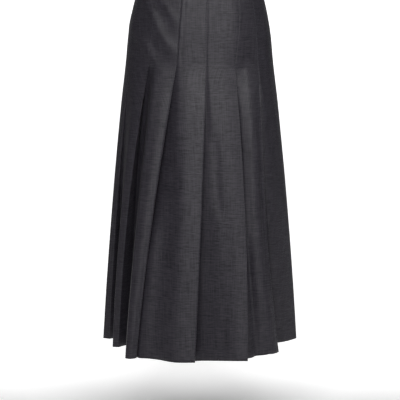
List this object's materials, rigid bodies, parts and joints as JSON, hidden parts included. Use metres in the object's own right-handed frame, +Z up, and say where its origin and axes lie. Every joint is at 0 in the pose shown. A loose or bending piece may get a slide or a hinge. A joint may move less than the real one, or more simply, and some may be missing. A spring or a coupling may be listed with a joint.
{
  "type": "pleated midi skirt",
  "caption": "Woven midi skirt with knife pleats stitched to the hip, flaring to the calf, with a waistband and a centre-back zip.",
  "frame": {"origin": "centre of the waist opening, at the top edge of the waistband, where the wearer holds the skirt", "axes": "+Z up along the wearer, the front of the skirt faces -Y, +X is the wearer's left and the right of someone who looks at the front"},
  "size_m": [0.4739, 0.4158, 0.8905],
  "materials": {
    "wool": "matt",
    "tape": "matt",
    "zip_metal": "satin"
  },
  "bodies": {
    "skirt": {"skirt_front": "wool", "skirt_back_right": "wool", "skirt_back_left": "wool", "waistband": "wool", "zip_tape": "tape", "zip_slider": "zip_metal"},
    "zip_tab": {"zip_pull": "zip_metal"}
  },
  "joints": [
    {"name": "zip_tab_hinge", "type": "hinge", "parent": "skirt", "child": "zip_tab", "pos_m": [0, 0.10401, -0.0085], "axis": [1, 0, 0], "range_deg": [0, 150]}
  ]
}
